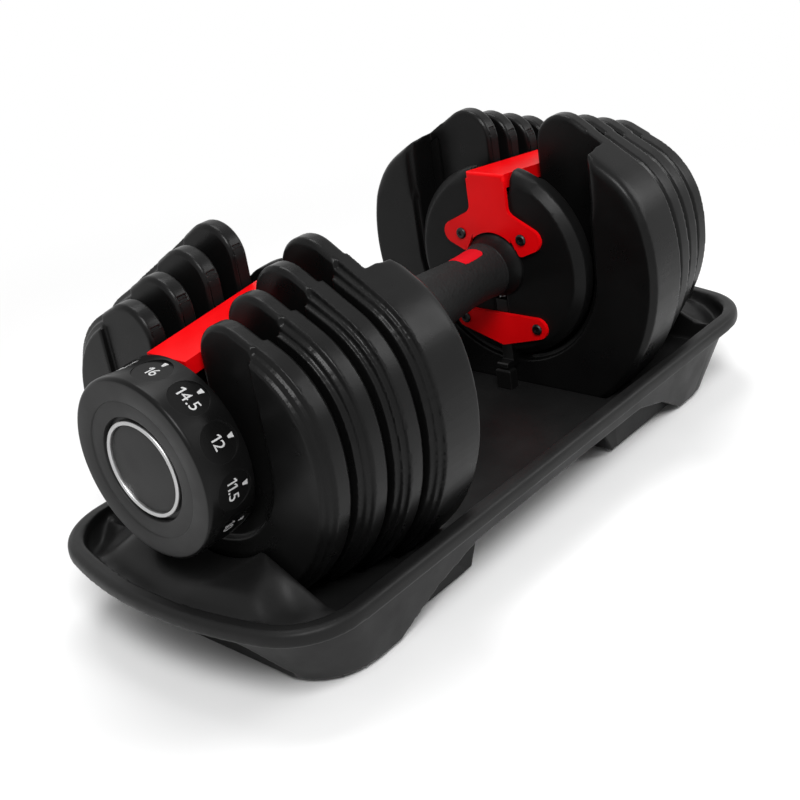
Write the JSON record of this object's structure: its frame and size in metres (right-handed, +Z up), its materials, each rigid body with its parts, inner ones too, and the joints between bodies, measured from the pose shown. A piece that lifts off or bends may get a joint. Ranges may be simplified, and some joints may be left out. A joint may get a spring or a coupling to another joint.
{
  "type": "adjustable dumbbell",
  "caption": "Adjustable dumbbell resting in its storage tray; a dial at each end turns coded discs that pick up horseshoe plates beside a contoured grip.",
  "frame": {"origin": "middle of the tray at floor level, under the middle of the grip", "axes": "+X along the handle axis, +Y across it, +Z up"},
  "size_m": [0.436, 0.204, 0.1925],
  "materials": {
    "tray_plastic": "fine grained, matte",
    "foot_rubber": "matte",
    "axle_steel": "bright turned steel",
    "grip_plastic": "satin, pebble grained",
    "red_plastic": "satin",
    "red_paint": "satin powder coat",
    "black_steel": "blackened, satin",
    "grey_plastic": "satin",
    "black_plastic": "satin",
    "dial_plastic": "satin",
    "silver_ring": "satin",
    "plate_plastic": "satin",
    "core_steel": "mill finish"
  },
  "bodies": {
    "tray": {"tray_shell": "tray_plastic", "tray_lock_posts": "tray_plastic", "tray_feet": "foot_rubber"},
    "handle": {"handle_axle": "axle_steel", "handle_grip": "grip_plastic", "grip_inlays": "red_plastic", "bracket_screws": "black_steel", "dial_bolts": "axle_steel", "dial_washers": "axle_steel", "collar_left": "grey_plastic", "collar_right": "grey_plastic", "end_disc_left": "black_plastic", "end_disc_right": "black_plastic", "bracket_left": "red_paint", "bracket_right": "red_paint", "lock_keeper_left": "red_paint", "lock_keeper_right": "red_paint", "lock_spring_left": "axle_steel", "lock_spring_right": "axle_steel"},
    "dial_left": {"dial_knob_left": "dial_plastic", "dial_ring_left": "silver_ring", "dial_cap_left": "dial_plastic", "dial_hub_left": "black_plastic", "selector_disc_1_left": "black_plastic", "selector_disc_2_left": "black_plastic", "selector_disc_3_left": "black_plastic", "selector_disc_4_left": "black_plastic"},
    "lock_left": {"lock_slider_left": "black_plastic"},
    "plate_1_left": {"plate_moulding_1_left": "plate_plastic", "plate_core_1_left": "core_steel"},
    "plate_2_left": {"plate_moulding_2_left": "plate_plastic", "plate_core_2_left": "core_steel"},
    "plate_3_left": {"plate_moulding_3_left": "plate_plastic", "plate_core_3_left": "core_steel"},
    "plate_4_left": {"plate_moulding_4_left": "plate_plastic", "plate_core_4_left": "core_steel"},
    "dial_right": {"dial_knob_right": "dial_plastic", "dial_ring_right": "silver_ring", "dial_cap_right": "dial_plastic", "dial_hub_right": "black_plastic", "selector_disc_1_right": "black_plastic", "selector_disc_2_right": "black_plastic", "selector_disc_3_right": "black_plastic", "selector_disc_4_right": "black_plastic"},
    "lock_right": {"lock_slider_right": "black_plastic"},
    "plate_1_right": {"plate_moulding_1_right": "plate_plastic", "plate_core_1_right": "core_steel"},
    "plate_2_right": {"plate_moulding_2_right": "plate_plastic", "plate_core_2_right": "core_steel"},
    "plate_3_right": {"plate_moulding_3_right": "plate_plastic", "plate_core_3_right": "core_steel"},
    "plate_4_right": {"plate_moulding_4_right": "plate_plastic", "plate_core_4_right": "core_steel"}
  },
  "joints": [
    {"name": "dumbbell_lift", "type": "slide", "parent": "tray", "child": "handle", "axis": [0, 0, 1], "range_m": [0, 0.2]},
    {"name": "dial_left_turn", "type": "hinge", "parent": "handle", "child": "dial_left", "pos_m": [-0.186, 0, 0.11], "axis": [-1, 0, 0], "range_deg": [0, 330]},
    {"name": "lock_left_drop", "type": "slide", "parent": "handle", "child": "lock_left", "axis": [0, 0, -1], "range_m": [0, 0.005], "deforming": ["lock_spring_left"]},
    {"name": "plate_1_left_lift", "type": "slide", "parent": "tray", "child": "plate_1_left", "axis": [0, 0, 1], "range_m": [0, 0.2]},
    {"name": "plate_2_left_lift", "type": "slide", "parent": "tray", "child": "plate_2_left", "axis": [0, 0, 1], "range_m": [0, 0.2]},
    {"name": "plate_3_left_lift", "type": "slide", "parent": "tray", "child": "plate_3_left", "axis": [0, 0, 1], "range_m": [0, 0.2]},
    {"name": "plate_4_left_lift", "type": "slide", "parent": "tray", "child": "plate_4_left", "axis": [0, 0, 1], "range_m": [0, 0.2]},
    {"name": "dial_right_turn", "type": "hinge", "parent": "handle", "child": "dial_right", "pos_m": [0.186, 0, 0.11], "axis": [1, 0, 0], "range_deg": [0, 330]},
    {"name": "lock_right_drop", "type": "slide", "parent": "handle", "child": "lock_right", "axis": [0, 0, -1], "range_m": [0, 0.005], "deforming": ["lock_spring_right"]},
    {"name": "plate_1_right_lift", "type": "slide", "parent": "tray", "child": "plate_1_right", "axis": [0, 0, 1], "range_m": [0, 0.2]},
    {"name": "plate_2_right_lift", "type": "slide", "parent": "tray", "child": "plate_2_right", "axis": [0, 0, 1], "range_m": [0, 0.2]},
    {"name": "plate_3_right_lift", "type": "slide", "parent": "tray", "child": "plate_3_right", "axis": [0, 0, 1], "range_m": [0, 0.2]},
    {"name": "plate_4_right_lift", "type": "slide", "parent": "tray", "child": "plate_4_right", "axis": [0, 0, 1], "range_m": [0, 0.2]}
  ],
  "couplings": [
    {"joint": "lock_left_drop", "follows": "dumbbell_lift", "ratio": 0.025},
    {"joint": "plate_1_left_lift", "follows": "dumbbell_lift", "ratio": 1},
    {"joint": "plate_2_left_lift", "follows": "dumbbell_lift", "ratio": 1},
    {"joint": "plate_3_left_lift", "follows": "dumbbell_lift", "ratio": 1},
    {"joint": "plate_4_left_lift", "follows": "dumbbell_lift", "ratio": 1},
    {"joint": "lock_right_drop", "follows": "dumbbell_lift", "ratio": 0.025},
    {"joint": "plate_1_right_lift", "follows": "dumbbell_lift", "ratio": 1},
    {"joint": "plate_2_right_lift", "follows": "dumbbell_lift", "ratio": 1},
    {"joint": "plate_3_right_lift", "follows": "dumbbell_lift", "ratio": 1},
    {"joint": "plate_4_right_lift", "follows": "dumbbell_lift", "ratio": 1}
  ]
}
